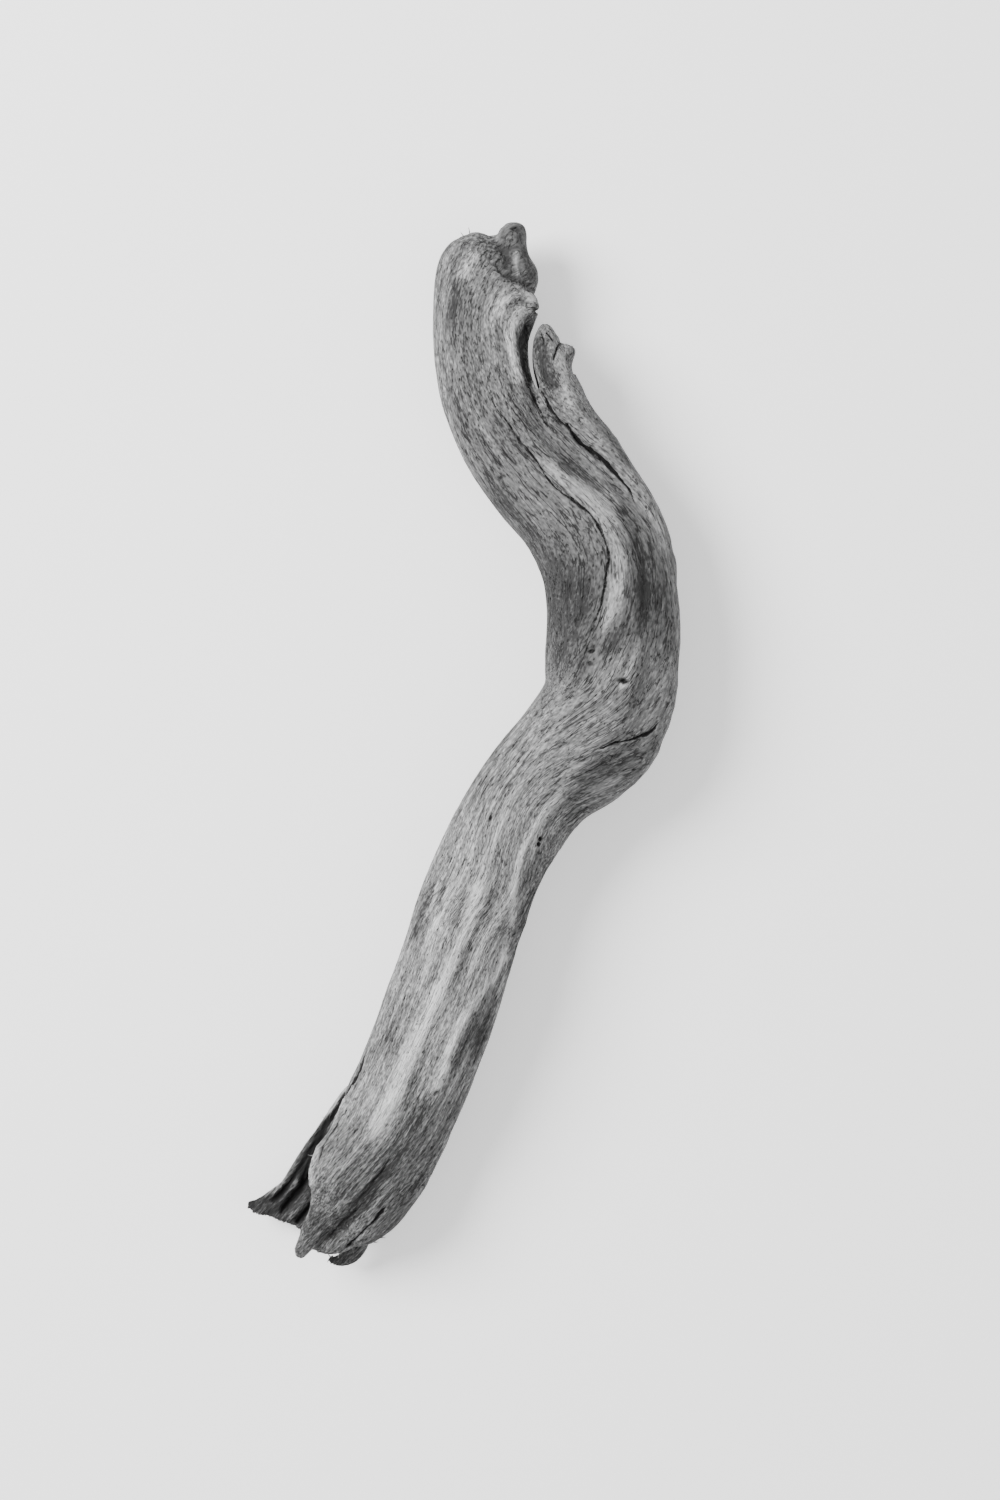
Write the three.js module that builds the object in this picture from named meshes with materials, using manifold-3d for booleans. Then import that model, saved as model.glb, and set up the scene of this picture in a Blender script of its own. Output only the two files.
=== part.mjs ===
// A piece of driftwood: one S-shaped branch, worn smooth by water, lying flat on a surface.
// Millimetres, +Z up. +Y runs up the branch, from its hollow broken foot to its knobbed head.
// The origin is under the middle of the piece, on the surface it lies on.
//
// The wood is one solid. It is made of strands: a strand is a loft of rounded sections along a
// smooth line. The strands are joined, the split beside the prong and the rotten hollow of the
// foot are cut out, and the three places that the wood lies on are worn flat.
import * as THREE from "three";
import Module from "manifold-3d";
import { mergeVertices } from "three/addons/utils/BufferGeometryUtils.js";

const SECTION_ROUNDNESS = 2.15; // 2 is an ellipse, more is squarer
const WORN_DEPTH = 0.7; // how much of the underside is worn away where it lies
const UNDER_BLOCK_SIZE = 600; // the block that wears it, wider than the wood

// Each strand has stations along its line: x, y, z, then how far the wood reaches to the left and
// to the right of the line, seen from above with the head up the page. Its depth says how far the
// wood reaches up and down from the line, as shares of the mean of left and right. Its fineness
// is the number of rings along it and of points round it.
const TRUNK = {
  depth: [0.92, 0.95],
  fineness: [92, 40],
  stations: [
    [8.5, 232.5, 20, 5.5, 6],
    [8.5, 229.5, 20, 12, 12],
    [8.5, 223, 20, 18, 17],
    [9, 211, 20.5, 22, 20],
    [9.5, 200, 21, 23, 22],
    [8.5, 186, 23, 22, 21.5],
    [9, 172, 25, 21.5, 21],
    [13, 158.5, 27, 23, 19.5],
    [22, 138.5, 28.5, 23.5, 20],
    [35, 120.5, 29.5, 24, 22],
    [49, 103.5, 30, 24, 25.5],
    [60.5, 84.5, 30, 26.5, 31],
    [66, 63, 29, 28.5, 31.5],
    [66, 41, 28.2, 29, 31.5],
    [62, 19.5, 27.8, 27, 32.5],
    [50.5, 0.5, 28, 27, 31],
    [36, -16, 28, 26.5, 25],
    [23, -34, 28.5, 25.5, 24],
    [12, -53.5, 29, 24.5, 24],
    [4, -74, 29, 25, 24.7],
    [-3, -94.5, 28.5, 24.5, 25.2],
    [-10, -115.5, 27.5, 25, 26],
    [-17.5, -136.5, 26, 25, 25.8],
    [-26, -157, 24.3, 25, 25.8],
    [-35, -177, 23.2, 25, 26],
    [-43.5, -195, 22.8, 24.5, 25.5],
    [-50, -209, 23.5, 19, 21.5],
    [-54, -218, 24.5, 13, 14.5],
    [-56, -222, 25, 8, 8],
  ],
};

// The prong stands off the trunk behind a narrow split. Its root runs down the outside of the bend.
const PRONG = {
  depth: [1.9, 2.4],
  fineness: [22, 18],
  stations: [
    [39.6, 188.8, 30, 3.6, 4],
    [38.7, 186.5, 29.5, 6.5, 6],
    [38.8, 179, 29, 10, 7.4],
    [40, 171, 29, 11, 8.4],
    [43, 161, 29, 12, 8.5],
    [48.5, 151, 30, 11, 9],
    [56, 142, 30, 9.5, 8.2],
    [64, 133, 30, 8.5, 8.3],
    [73, 121, 29.5, 9, 6.8],
    [80, 109, 28.5, 9, 6.2],
    [85.5, 95, 26.5, 9, 6.8],
    [88.5, 80, 25, 9, 7.6],
    [89, 64, 25, 7, 7],
  ],
};

// Wood that fills the fork below the split, so that only a crack shows between trunk and prong.
const FORK = {
  depth: [1.5, 1.6],
  fineness: [16, 14],
  stations: [
    [28, 163, 30, 3, 3],
    [31.5, 155, 30.5, 7, 6],
    [36.5, 147, 31, 9, 7],
    [44, 138, 31.5, 10, 7],
    [54, 128.5, 31.5, 10, 7],
    [64, 119.5, 31, 9, 7],
    [73, 109, 30, 6, 6],
  ],
};

// The narrow split above that fork. It is cut right through the wood.
const SPLIT = {
  depth: [60, 60],
  fineness: [22, 10],
  stations: [
    [35.6, 196, 30, 1, 1.2],
    [33.2, 190, 30, 0.9, 0.9],
    [30.9, 184, 30, 0.75, 0.7],
    [30.3, 178, 30, 0.65, 0.65],
    [30.8, 171, 30, 0.65, 0.65],
    [32.2, 165, 30, 0.7, 0.7],
    [34, 160, 30, 0.5, 0.5],
  ],
};

// The outer lobe of the prong's broken tip, and the lower layer that shows beside its neck.
const PRONG_LOBE = {
  depth: [1.6, 1.8],
  fineness: [10, 12],
  stations: [
    [47.8, 180.6, 33, 3, 3],
    [47, 178.8, 33, 4.5, 4],
    [45, 171, 32.5, 6, 3.6],
    [45, 161, 32, 5, 3],
  ],
};
const PRONG_UNDERLAYER = {
  depth: [2.4, 2.8],
  fineness: [10, 12],
  stations: [
    [50, 169, 20, 1.5, 1],
    [51, 163, 20, 4, 2.5],
    [55, 152, 21, 5, 3],
    [62, 141.5, 22, 5.5, 3.5],
    [71, 129, 24, 5, 3],
  ],
};

// The burl at the corner of the head, and the lip of wood that curls over the top of the split.
const KNOB = {
  depth: [1.4, 1.6],
  fineness: [12, 14],
  stations: [
    [22, 236.2, 25.5, 3, 3],
    [22.3, 233, 25.5, 6.8, 6.5],
    [22, 225, 25, 8, 7.1],
    [25, 216, 24, 8, 8],
    [27.5, 210, 23, 8, 7.1],
    [29, 203.5, 22, 5, 3],
  ],
};
const SPLIT_LIP = {
  depth: [1.2, 1.6],
  fineness: [10, 12],
  stations: [
    [20, 206, 30, 4, 3.5],
    [26, 202, 29.5, 5, 5.5],
    [29.8, 197.6, 29, 5, 5],
    [29.6, 191, 28, 5, 3.6],
    [28.5, 184, 27, 4, 2],
  ],
};

// The foot is a broken shell. Its back wall reaches further out than its front, to a curled tip.
const BACK_WALL = {
  depth: [0.55, 0.52],
  fineness: [20, 18],
  stations: [
    [-38, -146, 16, 5, 8],
    [-45, -160.5, 14, 9.5, 12],
    [-52, -172, 12, 11.3, 14],
    [-58, -183.5, 10.5, 13, 15],
    [-64, -194, 9.5, 14, 16],
    [-69.5, -203.5, 9, 14, 15],
    [-74, -212, 9, 13.5, 13],
    [-77, -217.5, 9, 9.5, 8],
  ],
};
const BACK_TIP = {
  depth: [0.9, 0.9],
  fineness: [10, 12],
  stations: [
    [-76, -201, 10, 6, 6],
    [-85.5, -205.8, 11, 5.5, 6],
    [-92, -206.8, 13, 4, 4],
    [-97, -206, 15, 2, 2],
  ],
};

// The front wall ends in two blunt toes, with a small hook under them.
const OUTER_TOE = {
  depth: [0.95, 0.95],
  fineness: [12, 14],
  stations: [
    [-48, -190, 32, 8, 8],
    [-57.5, -203.5, 31.5, 8, 8],
    [-65.5, -214.5, 30, 6.2, 6.6],
    [-70.4, -221.6, 28.3, 4.9, 5.8],
    [-73, -225.2, 27.4, 4.3, 4.4],
    [-74.8, -227.4, 27, 2.2, 2.4],
  ],
};
const INNER_TOE = {
  depth: [0.75, 0.75],
  fineness: [10, 12],
  stations: [
    [-36, -196, 31, 9, 10],
    [-45, -209, 29.5, 9, 10],
    [-52, -219, 27.5, 9, 7.5],
    [-59, -224, 26.5, 8, 6],
    [-64.5, -226, 26, 5, 3.2],
    [-67, -226.8, 26, 2, 1.2],
  ],
};
const HOOK = {
  depth: [1.05, 1.15],
  fineness: [14, 12],
  stations: [
    [-38, -210, 16, 5, 5],
    [-46.3, -223, 14, 4.9, 4.8],
    [-50, -230, 12.5, 4.5, 4.5],
    [-54.5, -233.6, 12, 3.2, 3.2],
    [-59.3, -234, 12, 1.9, 2],
    [-61.5, -232.9, 12.5, 0.9, 1],
  ],
};

// What has rotted out of the foot: the space between its front and back walls.
const HOLLOW = {
  depth: [0.55, 0.45],
  fineness: [20, 18],
  stations: [
    [-33, -130, 23, 2, 2],
    [-41, -146, 23, 5, 4],
    [-50, -163, 23, 10, 8],
    [-60, -182, 22.5, 17, 12],
    [-69, -201, 22, 26, 14],
    [-77, -217, 21.5, 32, 13],
    [-83, -232, 21, 28, 12],
  ],
};

// Long ridges and valleys of the trunk. Each runs from one share of the trunk's length to another
// and from one angle round the section to another, in degrees: 0 is right, 90 up and 180 left.
const FLUTES = [
  { along: [0.06, 0.3], angle: [40, 46], width: 18, height: 1.6 },
  { along: [0.22, 0.58], angle: [74, 78], width: 15, height: 1.6 },
  { along: [0.26, 0.62], angle: [50, 56], width: 15, height: -2.4 },
  { along: [0.3, 0.6], angle: [100, 98], width: 13, height: -1.4 },
  { along: [0.28, 0.58], angle: [128, 122], width: 20, height: 0.8 },
  { along: [0.46, 0.62], angle: [30, 34], width: 18, height: 1.4 },
  { along: [0.58, 0.98], angle: [90, 112], width: 18, height: 1.7 },
  { along: [0.6, 0.92], angle: [76, 92], width: 12, height: -1.4 },
  { along: [0.66, 0.98], angle: [50, 80], width: 14, height: 1.8 },
  { along: [0.62, 0.9], angle: [26, 36], width: 14, height: -2.6 },
  { along: [0.83, 1.0], angle: [48, 100], width: 14, height: -4 },
  { along: [0.64, 0.94], angle: [136, 142], width: 14, height: -1.2 },
  { along: [0.1, 0.5], angle: [212, 218], width: 20, height: 1.6 },
  { along: [0.2, 0.7], angle: [244, 250], width: 20, height: -2 },
  { along: [0.5, 0.88], angle: [286, 278], width: 20, height: -2.2 },
  { along: [0.08, 0.44], angle: [300, 292], width: 20, height: -1.8 },
  { along: [0.55, 0.95], angle: [316, 318], width: 20, height: 1.5 },
];

const wasm = await Module();
wasm.setup();

const smoothStep = (t) => t * t * (3 - 2 * t);

// A Catmull-Rom curve through one column of a strand's stations, read at a share of its length.
function column(stations, index) {
  const last = stations.length - 1;
  const value = (i) => stations[THREE.MathUtils.clamp(i, 0, last)][index];
  return (share) => {
    const i = Math.min(Math.floor(share * last), last - 1);
    const t = share * last - i;
    const [a, b, c, d] = [value(i - 1), value(i), value(i + 1), value(i + 2)];
    const bend = 2 * a - 5 * b + 4 * c - d + t * (3 * (b - c) + d - a);
    return b + 0.5 * t * (c - a + t * bend);
  };
}

// How far the flutes lift the surface, at a share of the length and an angle in degrees.
function fluteHeight(flutes, share, angle) {
  let height = 0;
  for (const flute of flutes) {
    const [from, to] = flute.along;
    const t = (share - from) / (to - from);
    if (t <= 0 || t >= 1) continue;
    const centre = THREE.MathUtils.lerp(flute.angle[0], flute.angle[1], t);
    const apart = (((angle - centre + 540) % 360) - 180) / flute.width;
    const fade = smoothStep(Math.min(1, 5 * t)) * smoothStep(Math.min(1, 5 * (1 - t)));
    height += flute.height * fade * Math.exp(-apart * apart);
  }
  return height;
}

// The points of a strand: its rings one after another, then the two ends of its line.
function strandPoints({ stations, depth, fineness }, flutes) {
  const [x, y, z, left, right] = stations[0].map((_, index) => column(stations, index));
  const [rings, points] = fineness;
  const lineAt = (share) => new THREE.Vector3(x(share), y(share), z(share));
  const rounded = (value) => Math.sign(value) * Math.abs(value) ** (2 / SECTION_ROUNDNESS);
  const positions = [];
  for (let ring = 0; ring <= rings; ring += 1) {
    const share = ring / rings;
    const centre = lineAt(share);
    const ahead = lineAt(Math.min(1, share + 1e-3));
    const heading = ahead.sub(lineAt(Math.max(0, share - 1e-3))).setZ(0).normalize();
    const thickness = (left(share) + right(share)) / 2;
    for (let point = 0; point < points; point += 1) {
      const turn = point / points;
      const across = rounded(Math.cos(2 * Math.PI * turn));
      const above = rounded(Math.sin(2 * Math.PI * turn));
      const lift = fluteHeight(flutes, share, 360 * turn);
      const reach = across * ((across > 0 ? right(share) : left(share)) + lift);
      const rise = above * (thickness * depth[above > 0 ? 0 : 1] + lift);
      positions.push(centre.x - heading.y * reach, centre.y + heading.x * reach, centre.z + rise);
    }
  }
  positions.push(...lineAt(0).toArray(), ...lineAt(1).toArray());
  return positions;
}

// The triangles between those points: a fan at each end and a band between neighbouring rings.
function strandFaces([rings, points]) {
  const firstEnd = (rings + 1) * points;
  const faces = [];
  for (let point = 0; point < points; point += 1) {
    const next = (point + 1) % points;
    faces.push(firstEnd, next, point);
    faces.push(firstEnd + 1, rings * points + point, rings * points + next);
    for (let here = 0; here < rings * points; here += points) {
      const there = here + points;
      faces.push(here + point, here + next, there + point);
      faces.push(here + next, there + next, there + point);
    }
  }
  return faces;
}

// A strand as a closed solid.
function strand(shape, flutes = []) {
  const positions = new THREE.Float32BufferAttribute(strandPoints(shape, flutes), 3);
  const geometry = new THREE.BufferGeometry().setAttribute("position", positions);
  return solidOf(geometry.setIndex(strandFaces(shape.fineness)));
}

// A closed geometry as a solid that can be joined and cut.
function solidOf(geometry) {
  const bare = geometry.clone();
  bare.deleteAttribute("normal");
  bare.deleteAttribute("uv");
  const merged = mergeVertices(bare, 1e-4);
  return new wasm.Manifold(
    new wasm.Mesh({
      numProp: 3,
      vertProperties: new Float32Array(merged.attributes.position.array),
      triVerts: new Uint32Array(merged.index.array),
    }),
  );
}

// A solid back as a geometry for a mesh, lowered or raised so that it stands on z = 0.
function geometryOf(solid) {
  const { numProp, vertProperties, triVerts } = solid.getMesh();
  const positions = vertProperties.filter((_, index) => index % numProp < 3);
  const geometry = new THREE.BufferGeometry();
  geometry.setAttribute("position", new THREE.BufferAttribute(positions, 3));
  geometry.setIndex(new THREE.BufferAttribute(triVerts, 1));
  geometry.computeBoundingBox();
  geometry.translate(0, 0, -geometry.boundingBox.min.z);
  geometry.computeVertexNormals();
  return geometry;
}

// The block under the wood. Its top trims the underside to worn flats.
function underBlock() {
  const block = new THREE.BoxGeometry(UNDER_BLOCK_SIZE, UNDER_BLOCK_SIZE, UNDER_BLOCK_SIZE);
  return solidOf(block.translate(0, 0, WORN_DEPTH - UNDER_BLOCK_SIZE / 2));
}

// A solid with some strands joined to it.
function joined(solid, strands) {
  return strands.reduce((wood, shape) => wood.add(strand(shape)), solid);
}

// The whole piece of wood. The toes and the hook are joined after the hollow is cut, because they
// reach over it and into it.
function driftwood() {
  const head = [PRONG, FORK, PRONG_LOBE, PRONG_UNDERLAYER, KNOB, SPLIT_LIP];
  const whole = joined(strand(TRUNK, FLUTES), [...head, BACK_WALL, BACK_TIP]);
  const open = whole.subtract(strand(SPLIT)).subtract(strand(HOLLOW));
  return joined(open, [OUTER_TOE, INNER_TOE, HOOK]).subtract(underBlock());
}

const wood = new THREE.Mesh(
  geometryOf(driftwood()),
  new THREE.MeshStandardMaterial({ color: 0x8c8c8c, roughness: 0.85, metalness: 0 }),
);
wood.name = "driftwood";

const part = new THREE.Group();
part.add(wood);

export default part;
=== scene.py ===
"""A piece of driftwood on a plain pale floor, seen from straight above in soft studio light.

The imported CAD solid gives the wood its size, place and large shapes. This script remeshes that solid
finely, then works its surface as water, sun and insects do: ridges and valleys that follow the fibres,
cracks, pits, insect holes, splintered ends and frayed fibres. Features are placed in millimetres in the
frame's own axes, on wood of DESIGN_LENGTH, and follow the frame if its size changes.
"""

from __future__ import annotations

import functools
import itertools
import logging
import math
from dataclasses import dataclass, field
from enum import Enum, IntEnum
from typing import Callable, Sequence

import bpy
import numpy as np
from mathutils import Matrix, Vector

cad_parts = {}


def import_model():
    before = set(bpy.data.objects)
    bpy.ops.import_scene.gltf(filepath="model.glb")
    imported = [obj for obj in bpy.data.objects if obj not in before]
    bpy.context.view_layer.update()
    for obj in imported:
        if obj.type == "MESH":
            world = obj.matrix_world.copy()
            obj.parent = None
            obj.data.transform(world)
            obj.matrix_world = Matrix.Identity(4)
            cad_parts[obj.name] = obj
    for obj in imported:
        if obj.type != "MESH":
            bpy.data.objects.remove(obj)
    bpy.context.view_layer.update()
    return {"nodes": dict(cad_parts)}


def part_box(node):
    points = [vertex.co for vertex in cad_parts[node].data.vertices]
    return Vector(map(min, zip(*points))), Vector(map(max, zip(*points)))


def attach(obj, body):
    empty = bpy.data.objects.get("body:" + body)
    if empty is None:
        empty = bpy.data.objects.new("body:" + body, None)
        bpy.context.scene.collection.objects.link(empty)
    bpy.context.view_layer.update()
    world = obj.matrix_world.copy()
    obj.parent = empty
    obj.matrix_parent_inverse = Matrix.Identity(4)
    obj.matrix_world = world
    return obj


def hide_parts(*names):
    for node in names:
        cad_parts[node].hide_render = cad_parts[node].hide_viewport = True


LOG = logging.getLogger("driftwood")

NODE = "driftwood"
BODY = "root"
MM = 0.001
DESIGN_LENGTH = 472.6  # millimetres along +Y, on which the features below are placed
LINE_STEP = 0.8  # millimetres between the samples of a stroke's line
AVERAGE_TONE = 0.5

Plan = tuple[float, float]  # a place seen from above: millimetres along +X and +Y
ArrayPair = tuple[np.ndarray, np.ndarray]


class Seed(IntEnum):
    """The seed of each noise in the wood's surface."""

    WOBBLE = 11
    WAVES = 23
    SHORT_FLECKS = 5
    LONG_FLECKS = 6
    FINE = 7
    ROUGHNESS = 3
    PITS = 41
    BUNDLES = 61


class Layer(Enum):
    """Which of the wood's surfaces a feature is on."""

    FRONT = "the upper surface"
    HOLLOW = "the back wall, seen inside the hollow foot"
    UNDERSIDE = "the surface it lies on"
    ROUND = "all the way round, so that the outline moves too"


@dataclass(frozen=True)
class Stroke:
    """A ridge, groove or streak that runs along a line over the wood.

    Attributes:
        line: Points that the line passes smoothly through.
        width: Width across the line, in millimetres.
        height: How far it stands up, or is cut in when negative, in millimetres.
        tone: How much lighter it is, or darker when negative.
        crack: How open the thin crack along its middle is, from 0 to 1: its black middle is painted shade.
        wander: How far its edges wander, in millimetres.
        layer: The surface it is on.
    """

    line: tuple[Plan, ...]
    width: float
    height: float = 0.0
    tone: float = 0.0
    crack: float = 0.0
    wander: float = 0.0
    layer: Layer = Layer.FRONT


@dataclass(frozen=True)
class Patch:
    """An oval area that is lighter, darker, dented or more pitted than the wood round it.

    Attributes:
        centre: The middle of the oval.
        radii: Half its length and half its width, in millimetres.
        turn: The direction of its length, in degrees from +X.
        height: How far it stands up, or is dented when negative, in millimetres.
        tone: How much lighter it is, or darker when negative.
        crevice: How black its middle is painted, as shade in a hole, dent or notch, from 0 to 1.
        pits: How many more pits it has, from 0 to 1.
        layer: The surface it is on.
    """

    centre: Plan
    radii: tuple[float, float]
    turn: float = 0.0
    height: float = 0.0
    tone: float = 0.0
    crevice: float = 0.0
    pits: float = 0.0
    layer: Layer = Layer.FRONT


@dataclass(frozen=True)
class Nudge:
    """A part of the CAD solid that is moved a little, seen from above, before it is remeshed.

    Attributes:
        centre: Its middle, in millimetres.
        radius: How far round the middle it reaches.
        move: How far its middle moves.
        above: The height over the floor from which it moves.
    """

    centre: Plan
    radius: float
    move: Plan
    above: float = -10.0


@dataclass(frozen=True)
class Fray:
    """A loose fibre that stands off the wood's edge.

    Attributes:
        root: Where it leaves the wood.
        heading: Its first direction, in degrees from +X.
        length: Its length, in millimetres.
        curl: How far it turns over its length, in degrees.
    """

    root: Plan
    heading: float
    length: float
    curl: float


# The trunk's centre line from the head to the foot: x, y, height above the floor and half width.
TRUNK_LINE = (
    (8.5, 240, 21, 19), (9, 211, 21, 21), (8.5, 186, 23, 21.8), (13, 158.5, 27, 21.3),
    (22, 138.5, 28.5, 21.8), (35, 120.5, 29.5, 23), (49, 103.5, 30, 25), (60.5, 84.5, 30, 28.5),
    (66, 63, 29, 30), (66, 41, 28, 30), (62, 19.5, 28, 29.5), (50.5, 0.5, 28, 29),
    (36, -16, 28, 26), (23, -34, 28.5, 25), (4, -74, 29, 25), (-10, -115.5, 27.5, 25.5),
    (-26, -157, 24.5, 25.5), (-43.5, -195, 23, 25), (-60, -232, 23, 25),
)  # fmt: skip

# How the fibres turn across that line, as spiral grain does: the distance from the head, then how
# fast they move to the right at the left edge and at the right edge.
FIBRE_TURN = (
    (0, 0, 0), (45, 0, 0), (75, 0.1, 0.1), (150, 0.1, 0.1), (165, -0.05, -0.1),
    (180, -0.25, -0.3), (212, -0.25, -0.35), (240, -0.2, -0.7), (260, -0.1, -0.55), (280, 0, -0.2),
    (300, 0.1, 0.15), (322, 0.22, 0.25), (345, -0.22, -0.28), (365, -0.05, -0.05),
    (440, -0.05, -0.1), (470, -0.3, -0.35), (520, -0.3, -0.35),
)  # fmt: skip
LIP_CENTRE = (31.0, 188.0)  # the fibres of the head curl round this place to the lip
LIP_CURL = 12.0  # how far from it they run in circles: further out they only lean
NUDGES = (
    # The front wall's edge over the foot's hollow, the back wall's tip, the outer toe and the prong's tip.
    Nudge((-64, -189), 15, (-4.4, -1.3), above=21.5),
    Nudge((-90, -206), 12, (-1.8, -2.6)),
    Nudge((-78, -225), 8, (0.4, -3.2)),
    Nudge((45, 184.5), 6, (-1.8, -0.8)),
)
SPLIT_LINE = ((34.6, 193), (31.6, 186), (30.4, 179), (30.6, 172), (31.8, 166), (33.4, 161.5))

# The black along each crack's middle is painted shade; the strokes also cut the grooves.
CRACKS = (
    # The split between the trunk and the prong's root, and the short ones beside it.
    Stroke(((33.6, 162), (36.9, 154), (40.5, 148.3), (45.9, 142.9), (51.3, 137), (57.6, 131.2),
            (64.4, 125), (71.6, 117.7), (77.4, 108.2)),
           width=1.2, height=-2.2, tone=-0.1, crack=1, wander=0.8),
    Stroke(((28.2, 163.5), (31.5, 157), (34, 151.3), (36.9, 145), (41.8, 138.6)),
           width=1, height=-1.2, crack=0.86, wander=0.5),
    Stroke(((31.5, 176), (33.5, 168.5), (35.7, 160.5)), width=1, height=-1, crack=0.8, wander=0.4),
    # The long drying crack down the upper trunk, and faint ones to its left.
    Stroke(((9.5, 164), (12.5, 156.5), (15.5, 150), (20.5, 143), (25.7, 135.5), (32.4, 127), (38.3, 118.5),
            (46, 111), (54.5, 105), (59.7, 98.5), (63.5, 89.5), (64.2, 82), (63, 72), (61, 63),
            (57.5, 52.5), (54, 45.5)),
           width=0.9, height=-1.2, crack=0.9, wander=0.8),
    Stroke(((36.5, 91), (39.5, 86.5), (42, 81.5), (41, 72), (40, 58)),
           width=1, height=-0.7, crack=0.75, wander=0.6),
    Stroke(((13, 131), (22, 119), (31, 107), (38, 99)), width=0.9, height=-0.5, crack=0.74, wander=0.7),
    Stroke(((-2, 146), (4, 133), (13, 118), (22, 105)), width=0.9, height=-0.5, crack=0.72, wander=0.7),
    # Across the bulge, and the seam of the outer layer above it.
    Stroke(((58, -1.5), (63.9, 0.2), (70.7, 2), (77.3, 3.6), (83.5, 6.2), (88.5, 11)),
           width=1, height=-1.4, crack=0.92, wander=0.6),
    Stroke(((79.7, 120.4), (88, 106), (93, 94), (96, 84)), width=1, height=-0.7, crack=0.76, wander=0.4),
    # Round the knob, and the slits in the prong's tip.
    Stroke(((14.5, 218), (17, 212.5), (22, 209.6), (27, 207.8), (32, 204.8)),
           width=3, height=-1.3, tone=-0.14, crack=0.7, wander=1),
    Stroke(((44.6, 183.5), (43.2, 180), (41.8, 176.5), (40.4, 171)),
           width=1.2, height=-1.6, crack=0.92, wander=0.4),
    Stroke(((37, 185.5), (39, 183), (40.5, 180.6)), width=1.2, height=-1, crack=0.9, wander=0.3),
    Stroke(((34.2, 187), (35.6, 183), (36.2, 178)), width=1, height=-0.8, crack=0.82, wander=0.4),
    # The foot: the split in its left edge and the cracks of the right lobe.
    Stroke(((-43.2, -134), (-46.5, -145), (-50.5, -153), (-57, -163.5), (-63, -173)),
           width=1.4, height=-2, crack=1.05, wander=0.4, layer=Layer.ROUND),
    Stroke(((-50, -160), (-56, -168.5), (-62, -178), (-66, -190)),
           width=0.9, height=-0.6, crack=0.82, wander=0.5),
    Stroke(((-48, -166), (-57, -180), (-63.5, -193), (-64.5, -201)),
           width=0.9, height=-0.5, crack=0.78, wander=0.6),
    Stroke(((-43, -163), (-52, -178), (-60, -193)), width=0.9, height=-0.4, crack=0.74, wander=0.7),
    Stroke(((-33.5, -204.5), (-41, -213.5), (-49.5, -222.5), (-53.5, -227)),
           width=1.2, height=-1.7, crack=0.92, wander=0.7),
    Stroke(((-45.5, -206.5), (-54, -214.5), (-61.5, -222)), width=1.2, height=-1, crack=0.82, wander=0.5),
    Stroke(((-31, -183), (-41, -196), (-50, -206)), width=1.2, height=-0.8, crack=0.8, wander=0.8),
    Stroke(((-20, -186), (-28, -199), (-37, -211)), width=1, height=-0.6, crack=0.76, wander=0.8),
)  # fmt: skip

RIDGES = (
    # The pale raised band that runs down beside the drying crack.
    Stroke(((34, 131), (41, 124), (50.4, 115.5), (60.5, 106.5), (67.5, 95), (70, 82), (68.6, 68),
            (65.5, 57), (61, 45.5)), width=8.6, height=0.8, tone=0.12, wander=1),
    # The head: pale fibres that curl round to the lip, and the smooth patch above them.
    Stroke(((33.5, 198.4), (28.5, 202), (23, 201.3), (18.5, 197), (17.5, 191)),
           width=4.8, height=0.6, tone=0.24, wander=0.6),
    Stroke(((31.5, 193.8), (26.5, 194.6), (22.6, 189), (21.2, 180), (23.3, 170), (28, 160.5)),
           width=5.2, height=0.9, tone=0.34, wander=0.6),
    Stroke(((12, 205), (15, 196), (14.5, 186)), width=8, tone=0.12, wander=1.2),
    Stroke(((0.5, 208.5), (2.4, 214.5), (6.8, 221.8)), width=6.2, height=0.35, tone=0.24, wander=0.8),
    Stroke(((24.2, 223), (24, 216.5), (25, 209.5)), width=2.2, height=0.9, tone=0.2),
    Stroke(((-16.5, 214), (-19, 200), (-19.5, 178), (-14, 158), (-5, 138)), width=6, tone=0.1, wander=1),
    # Pale strips of the prong and its root.
    Stroke(((44.5, 187), (46.8, 181), (44.5, 172), (45.5, 160), (52, 148)),
           width=4.5, height=0.4, tone=0.16, wander=0.8),
    Stroke(((62, 138), (74, 122), (85, 103), (91.5, 84)), width=4, height=0.3, tone=0.12, wander=0.9),
    # The two long pale stripes of the lower trunk, and the thin ones beside and above them.
    Stroke(((9.5, -57), (5, -73), (-1, -88), (-8, -104), (-14.5, -118)),
           width=6.5, height=0.4, tone=0.25, wander=1.2),
    Stroke(((-8, -104), (-15, -121), (-22, -136), (-28.4, -152), (-36, -166), (-44, -178)),
           width=8.5, height=0.5, tone=0.36, wander=1.2),
    Stroke(((21.5, -84), (16, -98), (5.5, -114), (-2, -126), (-8, -143), (-16, -158)),
           width=4.4, height=1, tone=0.36, wander=0.7),
    Stroke(((-5, -62), (-11.5, -78), (-18, -95)), width=3.4, height=0.5, tone=0.16, wander=0.8),
    Stroke(((49, -13), (41, -23.5), (31, -38), (25, -52), (22.5, -68), (21.5, -84)),
           width=3.2, height=0.5, tone=0.22, wander=0.6),
    Stroke(((20, -28), (13, -42), (8, -56)), width=3.5, height=0.3, tone=0.12, wander=0.8),
    Stroke(((79.3, 49), (75.5, 37), (70, 26)), width=2.6, height=0.4, tone=0.14, wander=0.8),
    # The splintered left edge of the foot's front wall, and the ridges of its right lobe.
    Stroke(((-51, -155.9), (-61, -170.5), (-66.3, -181), (-68.4, -191), (-67.5, -199)),
           width=3.4, height=0.4, tone=0.2, wander=0.6),
    Stroke(((-22, -178), (-30, -192), (-40.5, -206), (-52, -218)),
           width=3.2, height=0.6, tone=0.1, wander=0.7),
    Stroke(((-56, -201), (-64, -212), (-71, -221.5)), width=5, height=0.5, tone=0.04, wander=0.6),
)  # fmt: skip

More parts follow.
